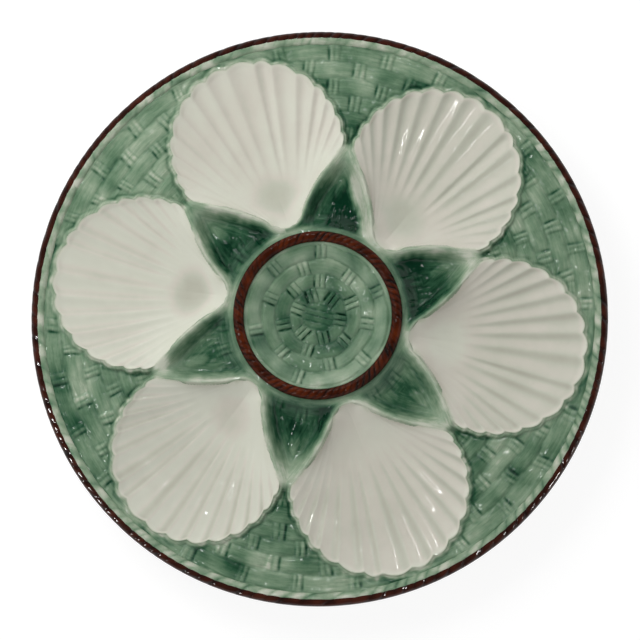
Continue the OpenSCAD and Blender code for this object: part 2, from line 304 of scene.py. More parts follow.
# The wells. A bowl is the product of two parabolas to a power, and its wall is held by its slope
# at the edge: bowl^-n = parabolas^-n + (slope x distance from the edge)^-n. The flutes, the rolled
# lip and a shallow hollow behind the tip, the hinge, are taken off the lip's level with it.
def shellWells(material):
    rows = shellMesh["rows"] + 1
    q, f, number = [v[None, :] for v in fluteRun(shellMesh["perFlute"])]
    cols = q.shape[1]
    even = np.linspace(0, 1, rows)[:, None]
    t = mix(even, 0.5 - 0.5 * np.cos(np.pi * even), shellMesh["crowding"])
    x, y = shellPoint(q, f, t)
    x0, y0 = shellPoint(q, f, np.zeros_like(t))
    x1, y1 = shellPoint(q, f, np.ones_like(t))
    run = np.hypot(x1 - x0, y1 - y0)
    flankX, flankY = shellPoint(np.sign(q + speck) * np.ones_like(q), f * 0, t)
    toFlank = np.hypot(x - flankX, y - flankY)
    toEnd = np.minimum(t, 1 - t) * run
    edge = 1 / np.sqrt(1 / np.maximum(toFlank, speck) ** 2 + 1 / np.maximum(toEnd, speck) ** 2)
    w = np.clip(t, speck, 1) ** (np.log(0.5) / np.log(shell["deepShare"]))
    bowl = ((1 - across(q) ** 2).clip(0) * (4 * w * (1 - w)).clip(0)) ** shell["fullness"]
    u = x - tipAt
    power = shellMesh["blendPower"]
    bowl = np.maximum(bowl * shell["depth"], speck) ** -power
    bowl = (bowl + np.maximum(edge * wallSlope(u), speck) ** -power) ** (-1 / power)
    ribbed = smooth(u / shell["length"], *shell["fadeShares"])
    beat = np.sin(shellMesh["fluteBeat"] * np.floor(number - speck))
    fade = ribbed * smooth(edge, *shellMesh["fluteRange"])
    fade = fade * (shellMesh["fluteMean"] + shellMesh["fluteVary"] * beat)
    hingeX, hingeY = shellMesh["hingeAt"]
    toHinge = np.hypot(u - hingeX, (y - hingeY) * shellMesh["hingeSquash"])
    hingeFlat = shellMesh["hingeFlatShare"] * shellMesh["hingeR"]
    hinge = 1 - smooth(toHinge, hingeFlat, shellMesh["hingeR"])
    flute = blurred(shell["fluteDepth"] * fade * hollow(f), 0, shellMesh["fluteBlur"])
    roll = shellMesh["lipDrop"] * (1 - np.minimum(edge / shellMesh["lip"], 1)) ** 2
    z = lipAt(np.hypot(x, y)) - bowl - flute - roll \
        - shellMesh["hingeDepth"] * hinge * smooth(edge, *shellMesh["hingeRange"])
    # Glaze gathers, with painted shade, in a soft band beside each crest, in the flute hollows and
    # in the hinge
    # Painted shade with pooled glaze: a band on the shaded side of each crest
    fromLine = (f - shellGlaze["lineAt"] + 0.5) % 1 - 0.5
    line = ridge(fromLine, 0, shellGlaze["lineW"])
    line = shellGlaze["line"] * line * smooth(edge, *shellGlaze["lineRange"]) * ribbed
    # Painted shade with pooled glaze: darker towards the bottom of each flute
    pool = shellGlaze["hollow"] * fade * (1 + hollow(f))
    # Painted shade with pooled glaze: the hinge's deeper hollow is darker
    hingePoolAndShade = hinge * smooth(edge, *shellGlaze["hingeRange"])
    # Green runs over the edge, far down the flanks where they face the pockets
    flankSide = smooth(u, *shellGlaze["flankRange"]) \
        * (1 - smooth(u, *shellGlaze["flankEndRange"])) \
        * smooth(toEnd - toFlank, *shellGlaze["cornerRange"])
    bleedW = mix(shellGlaze["bleedW"], shellGlaze["flankBleedW"], flankSide)
    bleed = (1 - smooth(edge, -shellGlaze["bleedPast"] * bleedW, bleedW)) \
        * mix(shellGlaze["bleed"], shellGlaze["flankBleed"], flankSide)
    # A skirt goes down from the outline to the back, and a fan closes it
    grid = np.arange(rows * cols).reshape(rows, cols)
    loop = np.concatenate([grid[0, :-1], grid[:-1, -1], grid[-1, :0:-1], grid[:0:-1, 0]])
    skirt = rows * cols + np.arange(len(loop))
    walls = np.stack([loop, np.roll(loop, -1), np.roll(skirt, -1), skirt], -1)
    quads = np.concatenate([gridQuads(rows, cols), walls])
    tris = fanTris(skirt, rows * cols + len(loop))
    fx, fy, fz = x.ravel(), y.ravel(), z.ravel()
    lowZ = backAt(np.hypot(fx[loop], fy[loop])) + shellMesh["cover"]
    px = np.concatenate([fx, fx[loop], [fx.mean()]])
    py = np.concatenate([fy, fy[loop], [0.0]])
    pz = np.concatenate([fz, lowZ, [backAt(fx.mean()) + shellMesh["cover"]]])
    extra = len(loop) + 1
    bleed = np.concatenate([bleed.ravel(), np.ones(extra)])
    within = smooth(edge, *shellMesh["calmRange"])
    swayed = np.concatenate([within.ravel(), np.zeros(extra)])
    for k in range(shell["count"]):
        a = (shell["bearing"] + k * pitch) * deg
        atX, atY = px * np.cos(a) - py * np.sin(a), px * np.sin(a) + py * np.cos(a)
        sway = shellMesh["sway"] * mottle(atX, atY, *shellMesh["swayGrain"]) * swayed
        # Each shell's shares set the painted shade in its crest bands and hinge, and paint the
        # whole shell lighter or darker by how the light falls on it
        poolAndShade = pool + line * shellGlaze["crestPoolAndShadeShares"][k] \
            + hingePoolAndShade * shellGlaze["hingePoolAndShadeShares"][k] + within * shellGlaze["paintedLightShares"][k]
        values = {"pool": np.concatenate([poolAndShade.ravel(), np.zeros(extra)]), "bleed": bleed}
        buildPiece(f"shellWell{k + 1}", listed(atX, atY, pz + sway), quads, tris, values,
                   material, [f"shell_well_{k + 1}"], loop)


outline = {"perFlute": 24, "perFlank": 400, "middleShare": 0.45, "block": 4000}


# Distance from the nearest shell's outline, negative inside it, for points given by radius and
# bearing off a shell's axis. The outline is finely sampled, and inside is told by the outline's
# own radius about a middle point.
def outlineDistance(r, off):
    q, f, _ = fluteRun(outline["perFlute"])
    t = np.linspace(0, 1, outline["perFlank"])
    parts = [shellPoint(q, f, 0 * q), shellPoint(0 * t + 1, 0 * t, t),
             shellPoint(q[::-1], f[::-1], 0 * q + 1), shellPoint(0 * t - 1, 0 * t, t[::-1])]
    ox = np.concatenate([p[0] for p in parts])
    oy = np.concatenate([p[1] for p in parts])
    midX = tipAt + shell["length"] * outline["middleShare"]
    around = np.arctan2(oy, ox - midX)
    order = np.argsort(around)
    reach = np.hypot(ox - midX, oy)
    best = np.full(r.shape, np.inf)
    for turn in (-pitch, 0, pitch):
        x, y = [c.ravel() for c in polar(r, (off + turn) * deg)]
        near = np.empty(x.shape)
        block = outline["block"]
        for start in range(0, len(x), block):
            bx, by = x[start:start + block, None], y[start:start + block, None]
            near[start:start + block] = np.sqrt(((bx - ox) ** 2 + (by - oy) ** 2).min(1))
        inside = np.hypot(x - midX, y) < np.interp(np.arctan2(y, x - midX), around[order],
                                                   reach[order], period=2 * np.pi)
        signed = np.where(inside, -near, near).reshape(r.shape)
        best = np.minimum(best, signed)
    return best


# Basket weave

weave = {"rowW": 6.8, "strandH": 0.9, "stakes": 30, "stakeW": 2.2, "grooveW": 0.7,
         "grooveD": 0.4, "grooveSoft": 0.5, "reeds": 5, "reedD": 0.05, "narrowing": 0.24,
         "endShare": 0.3, "barShare": 0.72, "barFootShare": 0.25, "barSoft": 0.25,
         "borderShares": (0.76, 1.0), "border": 0.34, "borderAtPair": 0.35,
         "borderRange": (1, 3), "groovePool": 0.9, "between": 0.8, "betweenPower": 1.5,
         "barThin": 0.3, "barLean": 0.3, "thinnestBlock": 0.1, "tones": 12}


# Relief of woven rows, in millimetres above the ground, and how much glaze gathers at each point.
# A strand swells across its row and between two stake pairs and narrows towards them; a pair is
# two round bars; a groove runs on the counter-clockwise side of each pair. rowShare runs across a
# row, arc is the distance from the nearest pair along it, and block is half the pairs' distance.
def wovenRelief(rowShare, arc, block, strandH):
    side = 2 * rowShare - 1
    gap = np.abs(arc)
    pairHalf = weave["stakeW"] + weave["grooveW"] / 2
    inBlock = np.clip((gap - pairHalf) / np.maximum(block - pairHalf, weave["thinnestBlock"]), 0, 1)
    crown = 1 - (1 - inBlock) ** 3
    width = 1 - weave["narrowing"] * (1 - crown)
    roundness = np.sqrt(np.clip(1 - np.abs(side / width) ** 3, 0, 1))
    reed = weave["reedD"] * np.cos(2 * np.pi * weave["reeds"] * rowShare) * (1 - 0.5 * crown)
    strand = (strandH * mix(weave["endShare"], 1, crown) + reed) * roundness
    barAt = (weave["stakeW"] + weave["grooveW"] * weave["barLean"]) / 2
    bar = np.sqrt(np.clip(1 - ((gap - barAt) / (weave["stakeW"] / 2)) ** 2, 0, 1))
    bars = strandH * (weave["barFootShare"] + weave["barShare"] * bar) \
        * np.sqrt(np.clip(1 - side ** 6, 0, 1))
    blend = smooth(gap, pairHalf - weave["barSoft"], pairHalf + weave["barSoft"])
    height = mix(bars, strand, blend)
    beside = ridge(arc, pairHalf, weave["grooveSoft"]) * (1 - side ** 8)
    between = (weave["between"] * (1 - bar) ** weave["betweenPower"] - weave["barThin"] * bar) \
        * (1 - blend) * (1 - side ** 6)
    border = weave["border"] * smooth(np.abs(side), *weave["borderShares"]) \
        * mix(weave["borderAtPair"], 1, smooth(gap, *weave["borderRange"]))
    return height - beside * weave["grooveD"], \
        np.maximum(weave["groovePool"] * beside, border) + between


# Woven rows over a ring: rowAt counts rows, turns counts stake pairs round the row, and every
# second row is half a step on. Gives the relief, the gathered glaze and a chance tone per block.
def weaveField(rowAt, turns, r, stepDeg, strandH, seed):
    row = np.floor(rowAt)
    phase = turns - np.where(row % 2 == 0, 0.5, 0)
    arc = (phase - np.round(phase)) * stepDeg * deg * r
    relief, gather = wovenRelief(rowAt - row, arc, stepDeg * deg * r / 2, strandH)
    pairs = round(360 / stepDeg)
    table = np.random.default_rng(seed).normal(size=(weave["tones"], pairs))
    tone = table[row.astype(int) % weave["tones"], np.floor(phase).astype(int) % pairs]
    return relief, gather, tone


# The ground's profile: places along a shell as shares of its length, with the height there as a
# share of the way from the pockets' floor up to the lip
ground = {"depth": 5.2, "step": 1.4, "rimDrop": 0.2, "fillet": 1.6, "samples": 1200, "easing": 61,
          "knotShares": [(-0.026, 0.86), (0.035, 0.16), (0.08, 0.0), (0.25, 0.0), (0.31, 0.22),
                         (0.38, 0.78), (0.425, 0.9), (0.45, 0.85), (0.485, 0.62)]}


# The ground's level: straight runs between the knots, eased by a running mean
def groundAt(r):
    floor = lipZ - ground["depth"]
    places = [ropeR] + [tipAt + s * shell["length"] for s, _ in ground["knotShares"]]
    levels = [lipZ] + [floor + h * (lipAt(p) - floor)
                       for p, (_, h) in zip(places[1:], ground["knotShares"])]
    places += [marginAt, groundR - ground["fillet"], groundR]
    levels += [lipAt(p) - ground["step"] for p in places[-3:-1]]
    levels += [lipAt(groundR) - ground["rimDrop"]]
    fine = np.linspace(ropeR, groundR, ground["samples"])
    level = np.interp(fine, places, levels)
    kernel = np.hanning(ground["easing"])
    beyond = ground["easing"] // 2
    padded = np.concatenate([np.full(beyond, level[0]), level, np.full(beyond, level[-1])])
    level = np.convolve(padded, kernel / kernel.sum(), "valid")
    return np.interp(r, fine, level)


# Beside a margin the weave has a paler slope, the halo, then a dark line, which is painted shadow
# at the dip there with glaze pooled in it. Where two shells come close, at the neck, the glaze is
# thicker, and the weave is painted lighter at the upper left, where the light falls.
woven = {"seed": 5, "riseRange": (79, 87), "riseFrom": 0.2, "edgeRange": (0.8, 3.0),
         "lineAt": 2.1, "lineW": 0.45, "lineD": 0.3, "haloRange": (0.7, 2.0), "halo": 0.14,
         "paintedLightAt": 140, "paintedLightW": 28, "paintedLight": 0.12, "neckRange": (74, 77), "neckEndRange": (80, 95),
         "neckEdgeRange": (0.3, 2.2), "neck": 0.15, "pool": 0.42, "block": 0.075, "drift": 0.08,
         "thinnest": 0.24, "gather": 0.4, "gatherRange": (1.5, 3), "line": 0.3,
         "lineWander": 0.25, "haloWander": 0.3, "haloUneven": 0.07, "lineVaried": (0.7, 0.35, 0, 1),
         "haloVaried": (0.85, 0.3, 0.4, 1), "gatherVaried": (0.8, 0.35, 0.2, 1.2)}


# Relief and glaze of the weave outside the shells, which fades out towards their edges; the glaze's
# tone also holds painted shadow and painted light
def outerWeave(r, bearing, away, small, broad, wanderR, wanderB):
    stepDeg = 360 / weave["stakes"]
    relief, gather, tone = weaveField(
        (groundR - wanderR) / weave["rowW"], (wanderB - firstPocket) / stepDeg, r, stepDeg,
        weave["strandH"], woven["seed"])
    relief = relief * mix(woven["riseFrom"], 1, smooth(r, *woven["riseRange"])) \
        * smooth(away, *woven["edgeRange"])
    # Painted shadow with pooled glaze: the dark line beside each margin
    line = ridge(away - woven["lineWander"] * small, woven["lineAt"], woven["lineW"]) \
        * varied(broad, *woven["lineVaried"])
    halo = (1 - smooth(away + woven["haloWander"] * small, *woven["haloRange"])) \
        * varied(broad, *woven["haloVaried"])
    # Painted light: the weave is paler towards the upper left
    paintedLight = woven["paintedLight"] * ridge(bearing % 360, woven["paintedLightAt"], woven["paintedLightW"])
    neck = smooth(r, *woven["neckRange"]) * (1 - smooth(r, *woven["neckEndRange"])) \
        * smooth(away, *woven["neckEdgeRange"])
    gather = gather * varied(small, *woven["gatherVaried"]) \
        * smooth(away, *woven["gatherRange"])
    pool = woven["pool"] + woven["block"] * tone + woven["drift"] * broad - paintedLight
    pool = np.maximum(pool, woven["thinnest"]) + woven["gather"] * gather \
        + woven["line"] * line + woven["neck"] * neck
    return relief - woven["lineD"] * line, \
        mix(pool, woven["halo"] + woven["haloUneven"] * small, halo)


# In runs, one for each pocket counter-clockwise from the one after shell 1: how far the dark glaze
# has run to the counter-clockwise side in millimetres, how much thicker it lies and how much
# thinner on that side. knob and bars hold half the cast relief's width and length and its radius,
# and their rings hold where thicker glaze lies round them and how widely, in those halves.
pocket = {"rowW": 5.6, "stepDeg": 15, "rowsFrom": 2.6, "strandH": 0.5, "seed": 9,
          "clearRange": (1.5, 4.5), "clearFrom": (1.6, 3.6), "clearTo": (47, 54),
          "knob": (2.0, 5.0, 56), "knobFlare": 0.05, "bars": (1.0, 3.2, 44.5), "barGap": 1.5,
          "castH": 0.45, "barShare": 0.7, "lines": (2.8, 4.6), "lineW": 0.42, "lineD": 0.15,
          "lineFrom": (3, 6), "lineTo": (58, 68), "ringW": 0.9, "ringH": 0.05, "ringTo": (2, 5),
          "runRange": (-0.2, 4.6), "edgeRange": (-0.5, 1.4), "highRange": (50, 69),
          "pool": 0.09, "dark": 0.71, "high": 0.12, "besideRange": (1.2, 4.0), "flareFrom": 60,
          "knobRing": (1.2, 0.22), "barRing": (1.3, 0.3), "lineWander": 0.3, "weaveShare": 0.5,
          "shiftRange": (0, 4), "smallWander": 0.2, "broadWander": 0.3, "highWander": 1.5,
          "tiltRange": (-1, 5), "gather": 0.12, "ringPool": 0.1, "drift": 0.06, "ropePool": 0.16,
          "ropeFall": 0.42, "ropeRange": (0.5, 8), "ropeRings": 0.07, "ringWander": 0.8,
          "runs": [(3.8, 0.36, 0.32), (0.0, 0.04, 0.0), (-0.5, -0.11, 0.0),
                   (0.3, 0.03, 0.0), (0.2, -0.13, 0.0), (-1.2, 0.14, 0.0)]}


# Relief and glaze of the pockets: a knob with two bars below it, each with a round section, lines
# that follow the shells' flanks, faint weave at the foot and strokes round the rope
def pocketWeave(r, bearing, away, small, broad, wanderR, wanderB):
    turn = (wanderB - firstPocket) / pitch
    which = np.round(turn)
    arc = (turn - which) * pitch * deg * r
    runs = np.array(pocket["runs"])
    shift, thick, tilt = runs[which.astype(int) % len(runs)].transpose(2, 0, 1)
    stepDeg = pocket["stepDeg"]
    relief, gather, _ = weaveField(
        (wanderR - ropeR - pocket["rowsFrom"]) / pocket["rowW"],
        (wanderB - firstPocket) / stepDeg - 0.5, r, stepDeg, pocket["strandH"], pocket["seed"])
    fromRope = r - ropeR
    clear = smooth(away, *pocket["clearRange"]) * smooth(fromRope, *pocket["clearFrom"]) \
        * (1 - smooth(r, *pocket["clearTo"]))
    halfW, halfL, place = pocket["knob"]
    halfW = halfW + pocket["knobFlare"] * (pocket["flareFrom"] - r)
    knob = np.hypot(arc / halfW, (wanderR - place) / halfL)
    halfW, halfL, place = pocket["bars"]
    bars = np.hypot((np.abs(arc) - pocket["barGap"]) / halfW, (wanderR - place) / halfL)
    raised = np.sqrt(np.clip(1 - knob ** 2, 0, 1)) \
        + pocket["barShare"] * np.sqrt(np.clip(1 - bars ** 2, 0, 1))
    ring = ridge(knob, *pocket["knobRing"]) \
        + pocket["barShare"] * ridge(bars, *pocket["barRing"])
    line = sum(ridge(away - pocket["lineWander"] * small, nested, pocket["lineW"])
               for nested in pocket["lines"])
    line = line * (1 - smooth(r, *pocket["lineTo"])) * smooth(fromRope, *pocket["lineFrom"])
    rings = np.cos(2 * np.pi * fromRope / pocket["ringW"] + pocket["ringWander"] * small) \
        * (1 - smooth(fromRope, *pocket["ringTo"]))
    relief = pocket["weaveShare"] * relief * clear + pocket["castH"] * raised \
        + pocket["ringH"] * rings - pocket["lineD"] * line
    run = away + shift * np.sign(arc) * smooth(np.abs(arc), *pocket["shiftRange"]) \
        + pocket["smallWander"] * small + pocket["broadWander"] * broad
    deep = smooth(run, *pocket["runRange"]) * smooth(away, *pocket["edgeRange"])
    high = smooth(r + pocket["highWander"] * broad, *pocket["highRange"])
    dark = pocket["dark"] + thick - tilt * smooth(arc, *pocket["tiltRange"])
    dark = mix(dark, pocket["high"], high)
    gathered = pocket["gather"] * (gather * clear + line - raised) + pocket["ringPool"] * ring
    pool = pocket["pool"] + deep * (dark + gathered) + pocket["drift"] * broad
    besidePool = pocket["ropePool"] + pocket["ropeFall"] * smooth(away, *pocket["ropeRange"]) \
        + pocket["ropeRings"] * rings
    return relief, mix(pool, besidePool, 1 - smooth(fromRope, *pocket["besideRange"]))


# How the ground meets the shells: it climbs to just under their lips in the pockets, steps down
# beside their margins, and its glaze runs a little over their edges
meeting = {"pocketRange": (72, 77), "slope": 6.5, "climbFrom": 0.2, "climbPower": 1.3,
           "under": 0.55, "bandRange": (0.9, 1.9), "bandShare": 0.92, "overrun": 0.3,
           "overrunVary": 0.15, "gap": 0.2, "gapRange": (0, 0.6), "dip": 0.5, "fall": 2.5,
           "covered": -0.9, "grain": 0.05, "smallGrain": (5, 21), "broadGrain": (17, 22),
           "wanderR": 0.28, "wanderRGrain": (24, 23), "wanderB": 0.4, "wanderBGrain": (20, 24),
           "strokesFrom": 76, "strokeLength": 9, "strokePace": 0.9}


# Noise space for brush strokes, drawn out along the lines where follow stays the same
def strokeFlow(x, y, follow, look):
    return listed(x / look["strokeLength"], y / look["strokeLength"],
                  follow * look["strokePace"])


# One ring of the ground between two radii, without the places that lie under a shell
def groundRing(name, radii, columns, material):
    perPitch = columns // shell["count"]
    off = (np.arange(perPitch) / perPitch - 0.5) * pitch
    away = outlineDistance(radii[:, None] * np.ones((1, perPitch)),
                           off[None, :] * np.ones((len(radii), 1)))
    away = np.tile(away, (1, shell["count"]))
    bearing = (shell["bearing"] - pitch / 2 + np.arange(columns) * 360 / columns)[None, :]
    r = radii[:, None] * np.ones((1, columns))
    x, y = polar(r, bearing * deg)
    level = groundAt(r)
    # Near a shell the clay climbs to just under its lip
    lift = (1 - smooth(away, meeting["climbFrom"], meeting["slope"])) ** meeting["climbPower"]
    inPocket = 1 - smooth(r, *meeting["pocketRange"])
    top = lipAt(r) - mix(meeting["under"], shellMesh["lipDrop"], inPocket)
    edgeBand = meeting["bandShare"] * (1 - smooth(away, *meeting["bandRange"])) * (1 - inPocket)
    level = mix(level, top, np.maximum(lift * inPocket, edgeBand))
    # The modeller's hand: rows and stakes wander a little
    small = mottle(x, y, *meeting["smallGrain"])
    broad = mottle(x, y, *meeting["broadGrain"])
    wanderR = r + meeting["wanderR"] * mottle(x, y, *meeting["wanderRGrain"])
    wanderB = bearing + meeting["wanderB"] * mottle(x, y, *meeting["wanderBGrain"]) / (r * deg)
    given = (r, bearing, away, small, broad, wanderR, wanderB)
    outerRelief, outerPool = outerWeave(*given)
    pocketRelief, pocketPool = pocketWeave(*given)
    relief = blurred(mix(outerRelief, pocketRelief, inPocket), 2, 2)
    pool = blurred(mix(outerPool, pocketPool, inPocket), 1, 1)
    # The green glaze runs a little over the shell's edge, lies on its slope and ends thin
    over = meeting["overrun"] + meeting["overrunVary"] * small
    inside = np.maximum(-away, 0)
    past = np.minimum(away + over, 0)
    rolled = 1 - (1 - np.minimum(inside / shellMesh["lip"], 1)) ** 2
    gap = meeting["gap"] * (over - inside) * (1 - smooth(away, *meeting["gapRange"]))
    lying = shellMesh["lipDrop"] * rolled - wallSlope(r - tipAt) * inside + gap \
        + meeting["dip"] * past
    z = level + relief + mix(meeting["fall"] * past, lying, inPocket) \
        + meeting["grain"] * small * smooth(away, 0, 2)
    # Brush strokes follow the rows, and in the pockets the nearest edge
    follow = np.where(r > meeting["strokesFrom"], r + 200, np.minimum(away, r - ropeR))
    flow = strokeFlow(x, y, follow, meeting)
    nextCol = np.roll(away, -1, 1)
    reached = (away > meeting["covered"]) | (nextCol > meeting["covered"])
    keep = reached[:-1] | reached[1:]
    quads = gridQuads(len(radii), columns, ring=True)[keep.ravel()]
    used, packed = np.unique(quads, return_inverse=True)
    values = {"pool": pool.ravel()[used], "flow": flow[used]}
    buildPiece(name, listed(x, y, z)[used], packed.reshape(-1, 4), [], values, material,
               ["basket_ground"])


# The parting is where the two rings meet, and tuck is how far they reach under the ropes
groundMesh = {"parting": 71.0, "tuck": 0.2, "pocketColumns": 1080, "pocketRows": 96,
              "weaveColumns": 1800, "weaveRows": 122}


# The pockets' ring inside the parting and the weave's ring outside it
def basketGround(material):
    parting, tuck = groundMesh["parting"], groundMesh["tuck"]
    groundRing("tipPockets", np.linspace(ropeR - tuck, parting, groundMesh["pocketRows"]),
               groundMesh["pocketColumns"], material)
    groundRing("basketGround", np.linspace(parting, groundR + tuck, groundMesh["weaveRows"]),
               groundMesh["weaveColumns"], material)


# Sauce well

# The stakes' bearings go by turns with the rows, from the edge inwards. The eye is the round patch
# of straight reeds in the middle.
sauce = {"depth": 7.6, "power": 3.0, "ledge": 1.2, "ledgeRange": (-0.6, 0.6), "rowW": 6.0,
         "rows": 4, "strandH": 1.0, "blockDeg": 30, "eyeReeds": 5, "eyeSoft": 0.6, "eyeH": 0.45,
         "eyeGather": 0.55, "reedBearing": -15.6, "columns": 720, "rings": 92, "poleR": 0.3,
         "wallFoot": 1, "hiddenPool": 0.3, "smallGrain": (4, 31), "broadGrain": (13, 32),
         "wander": 0.25, "wanderGrain": (16, 33), "seed": 12, "grain": 0.05, "innerPool": 0.52,
         "outerPool": 0.36, "poolRange": (8, 30), "gather": 0.35, "block": 0.07, "broad": 0.08,
         "drift": 0.24, "driftAt": (6, -1), "driftSpread": 130, "strokeLength": 9,
         "strokePace": 0.9, "eyeWander": 0.5, "reedShares": (0.5, 1),
         "gatherVaried": (0.75, 0.3, 0.2, 1.1),
         "stakes": [(21.6, 87, 132, 192.6, 252, 316), (52, 106.5, 159, 224, 283, 350.7)]}


# The basin sinks by a power of the radius
def basinAt(r):
    return lipZ - sauce["depth"] * (1 - (np.minimum(r, wellR) / wellR) ** sauce["power"])


# The well: woven rows and the eye laid on the basin, with a wall below the rope and a flat foot
def sauceWell(material):
    radii = np.linspace(wellR, sauce["poleR"], sauce["rings"])[::-1]
    columns = sauce["columns"]
    bearing = np.arange(columns) * 360 / columns
    r = radii[:, None] * np.ones((1, columns))
    x, y = polar(r, bearing * deg)
    small, broad = mottle(x, y, *sauce["smallGrain"]), mottle(x, y, *sauce["broadGrain"])
    edgeR = wellR - sauce["ledge"]
    rowAt = (edgeR - r + sauce["wander"] * mottle(x, y, *sauce["wanderGrain"])) / sauce["rowW"]
    relief, gather, tone = np.zeros_like(r), np.zeros_like(r), np.zeros_like(r)
    chance = np.random.default_rng(sauce["seed"])
    for i in range(sauce["rows"]):
        stakes = np.array(sauce["stakes"][i % 2])
        gaps = (bearing[:, None] - stakes[None, :] + 180) % 360 - 180
        nearest = np.abs(gaps).argmin(1)
        arc = gaps[np.arange(columns), nearest][None, :] * deg * r
        cell, hold = wovenRelief(rowAt - i, arc, sauce["blockDeg"] * deg * r, sauce["strandH"])
        block = np.searchsorted(np.sort(stakes), bearing) % len(stakes)
        here = (rowAt >= i) & (rowAt < i + 1)
        relief, gather = np.where(here, cell, relief), np.where(here, hold, gather)
        tone = np.where(here, chance.normal(size=len(stakes))[block][None, :], tone)
    eyeR = edgeR - sauce["rows"] * sauce["rowW"]
    a = (bearing - sauce["reedBearing"])[None, :] * deg
    side = 2 * ((r * np.sin(a) / eyeR * sauce["eyeReeds"] / 2) % 1) - 1
    eye = 1 - smooth(r + sauce["eyeWander"] * small, eyeR - sauce["eyeSoft"],
                     eyeR + sauce["eyeSoft"])
    relief = mix(relief, sauce["eyeH"] * np.sqrt(np.clip(1 - side ** 2, 0, 1)), eye)
    gather = mix(gather, sauce["eyeGather"] * smooth(np.abs(side), *sauce["reedShares"]), eye)
    ledge = smooth(edgeR - r, *sauce["ledgeRange"])
    relief = blurred(relief * ledge, 1, 2) + sauce["grain"] * small * ledge
    z = basinAt(r) + relief
    driftX, driftY = sauce["driftAt"]
    drift = np.exp(-((x - driftX) ** 2 + (y - driftY) ** 2) / sauce["driftSpread"])
    gather = blurred(gather, 1, 1) * varied(small, *sauce["gatherVaried"])
    pool = mix(sauce["innerPool"], sauce["outerPool"], smooth(r, *sauce["poolRange"])) \
        + sauce["gather"] * gather * ledge + sauce["drift"] * drift + sauce["block"] * tone \
        + sauce["broad"] * broad
    flow = strokeFlow(x, y, r, sauce)
    count = radii.size * columns
    footZ = footTop + sauce["wallFoot"]
    wall = listed(*polar(wellR, bearing * deg), np.full(columns, footZ))
    points = np.concatenate([listed(x, y, z), wall, [[0, 0, z[0].mean()], [0, 0, footZ]]])
    quads = gridQuads(len(radii) + 1, columns, ring=True)
    tris = np.concatenate([fanTris(np.arange(columns), count + columns),
                           fanTris(count + np.arange(columns), count + columns + 1, flip=True)])
    hidden = sauce["hiddenPool"]
    values = {"pool": np.concatenate([pool.ravel(), np.full(columns, hidden),
                                      [pool[0].mean(), hidden]]),
              "flow": np.concatenate([flow, np.zeros((columns + 2, 3))])}
    buildPiece("sauceWell", points, quads, tris, values, material,
               ["sauce_well"])


# Ropes

# Amount, waves round the rope and start of the uneven pace at which its strands follow
ropeDrift = [(1, 3, 1), (0.6, 7, 2.2), (0.35, 13, 4)]


# The place of a point among a rope's strands, whole between two of them: strands x bearing / 360,
# with the drift of their pace and their twist. share runs from 0 at the inner foot to 1 at the
# outer foot; the strands wind round the rope, so their shift follows the arcsine of its place.
def strandPhase(bearing, share, strands, twist, wander):
    drift = sum(amount * np.sin(waves * bearing * deg + start)
                for amount, waves, start in ropeDrift)
    wind = np.arcsin(np.clip(2 * share - 1, -1, 1)) / np.pi
    return strands * bearing / 360 + wander * drift + twist * wind


# Wear, unevenness and strokes on every rope, and how far its foot stays above the turned back.
# crisp holds how deep the grooves are, how much that varies, and its limits.
ropeWear = {"grain": (9, 41), "bearing": 125, "poolGrain": (11, 42), "uneven": 0.09,
            "crisp": (0.75, 0.4, 0.1, 1.6), "layRange": (0.1, 0.7), "groovePower": 0.55,
            "toothMiddle": 0.4, "cover": 0.5, "strokeLength": 7, "strokePace": 0.8}


# Height lost between two strands: 1 - sine^power, a narrow groove where the phase is whole
def strandRelief(phase):
    part = phase - np.floor(phase)
    return 1 - np.clip(np.sin(np.pi * part), 0, 1) ** ropeWear["groovePower"]


# The section is |2 share - 1|^full + (z / height)^full = 1, and full differs for its inner and
# outer half: 2 is half an ellipse, more is flatter with a steeper foot. In look, valley is how much
# glaze lies between two strands. shares holds where the section starts and ends and its rows.
def ropeRing(name, innerR, outerR, shares, z0, height, strands, look, material, nodes):
    twist, wander = look["twist"], look["wander"]
    columns = strands * look["perStrand"]
    bearing = (np.arange(columns) * 360 / columns)[None, :]
    fromShare, toShare, rows = shares
    part = np.linspace(0, 1, rows)[:, None]
    # The glaze line between the rim's two colours follows the strands in small teeth
    parted = strandPhase(bearing, look["partShare"], strands, twist, wander)
    tooth = look["teeth"] * (strandRelief(parted) - ropeWear["toothMiddle"])
    low = fromShare + (tooth if fromShare > 0 else 0)
    high = toShare + (tooth if toShare < 1 else 0)
    if toShare == 1:
        part = np.sin(np.pi / 2 * part) if fromShare > 0 else 0.5 - 0.5 * np.cos(np.pi * part)
    share = (low + (high - low) * part) * np.ones((1, columns))
    phase = strandPhase(bearing, share, strands, twist, wander)
    full = np.where(share < 0.5, *look["full"])
    swell = np.clip(1 - np.abs(2 * share - 1) ** full, 0, 1) ** (1 / full)
    valley = strandRelief(phase)
    r = innerR + (outerR - innerR) * share
    x, y = polar(r, bearing * deg)
    # The strands are worn unevenly, and on the rim most of all at the upper left
    mean, change, least, most = ropeWear["crisp"]
    side = look["wornSide"] * np.cos((bearing - ropeWear["bearing"]) * deg)
    crisp = np.clip(mean + change * mottle(x, y, *ropeWear["grain"]) - side, least, most)
    z = z0 + height * swell \
        - look["layDepth"] * crisp * valley * smooth(swell, *ropeWear["layRange"])
    down = [listed(x[e], y[e], backAt(r[e]) + ropeWear["cover"]) for e in (0, -1)]
    points = np.concatenate([down[0], listed(x, y, z), down[1]])
    quads = hoopQuads(rows + 2, columns)
    pool = look["pool"] + look["valley"] * valley * crisp \
        + ropeWear["uneven"] * mottle(x, y, *ropeWear["poolGrain"])
    pool = np.concatenate([np.ones(columns), pool.ravel(), np.ones(columns)])
    noFlow = np.zeros((columns, 3))
    flow = np.concatenate([noFlow, strokeFlow(x, y, r, ropeWear), noFlow])
    buildPiece(name, points, quads, [], {"pool": pool, "flow": flow}, material, nodes)


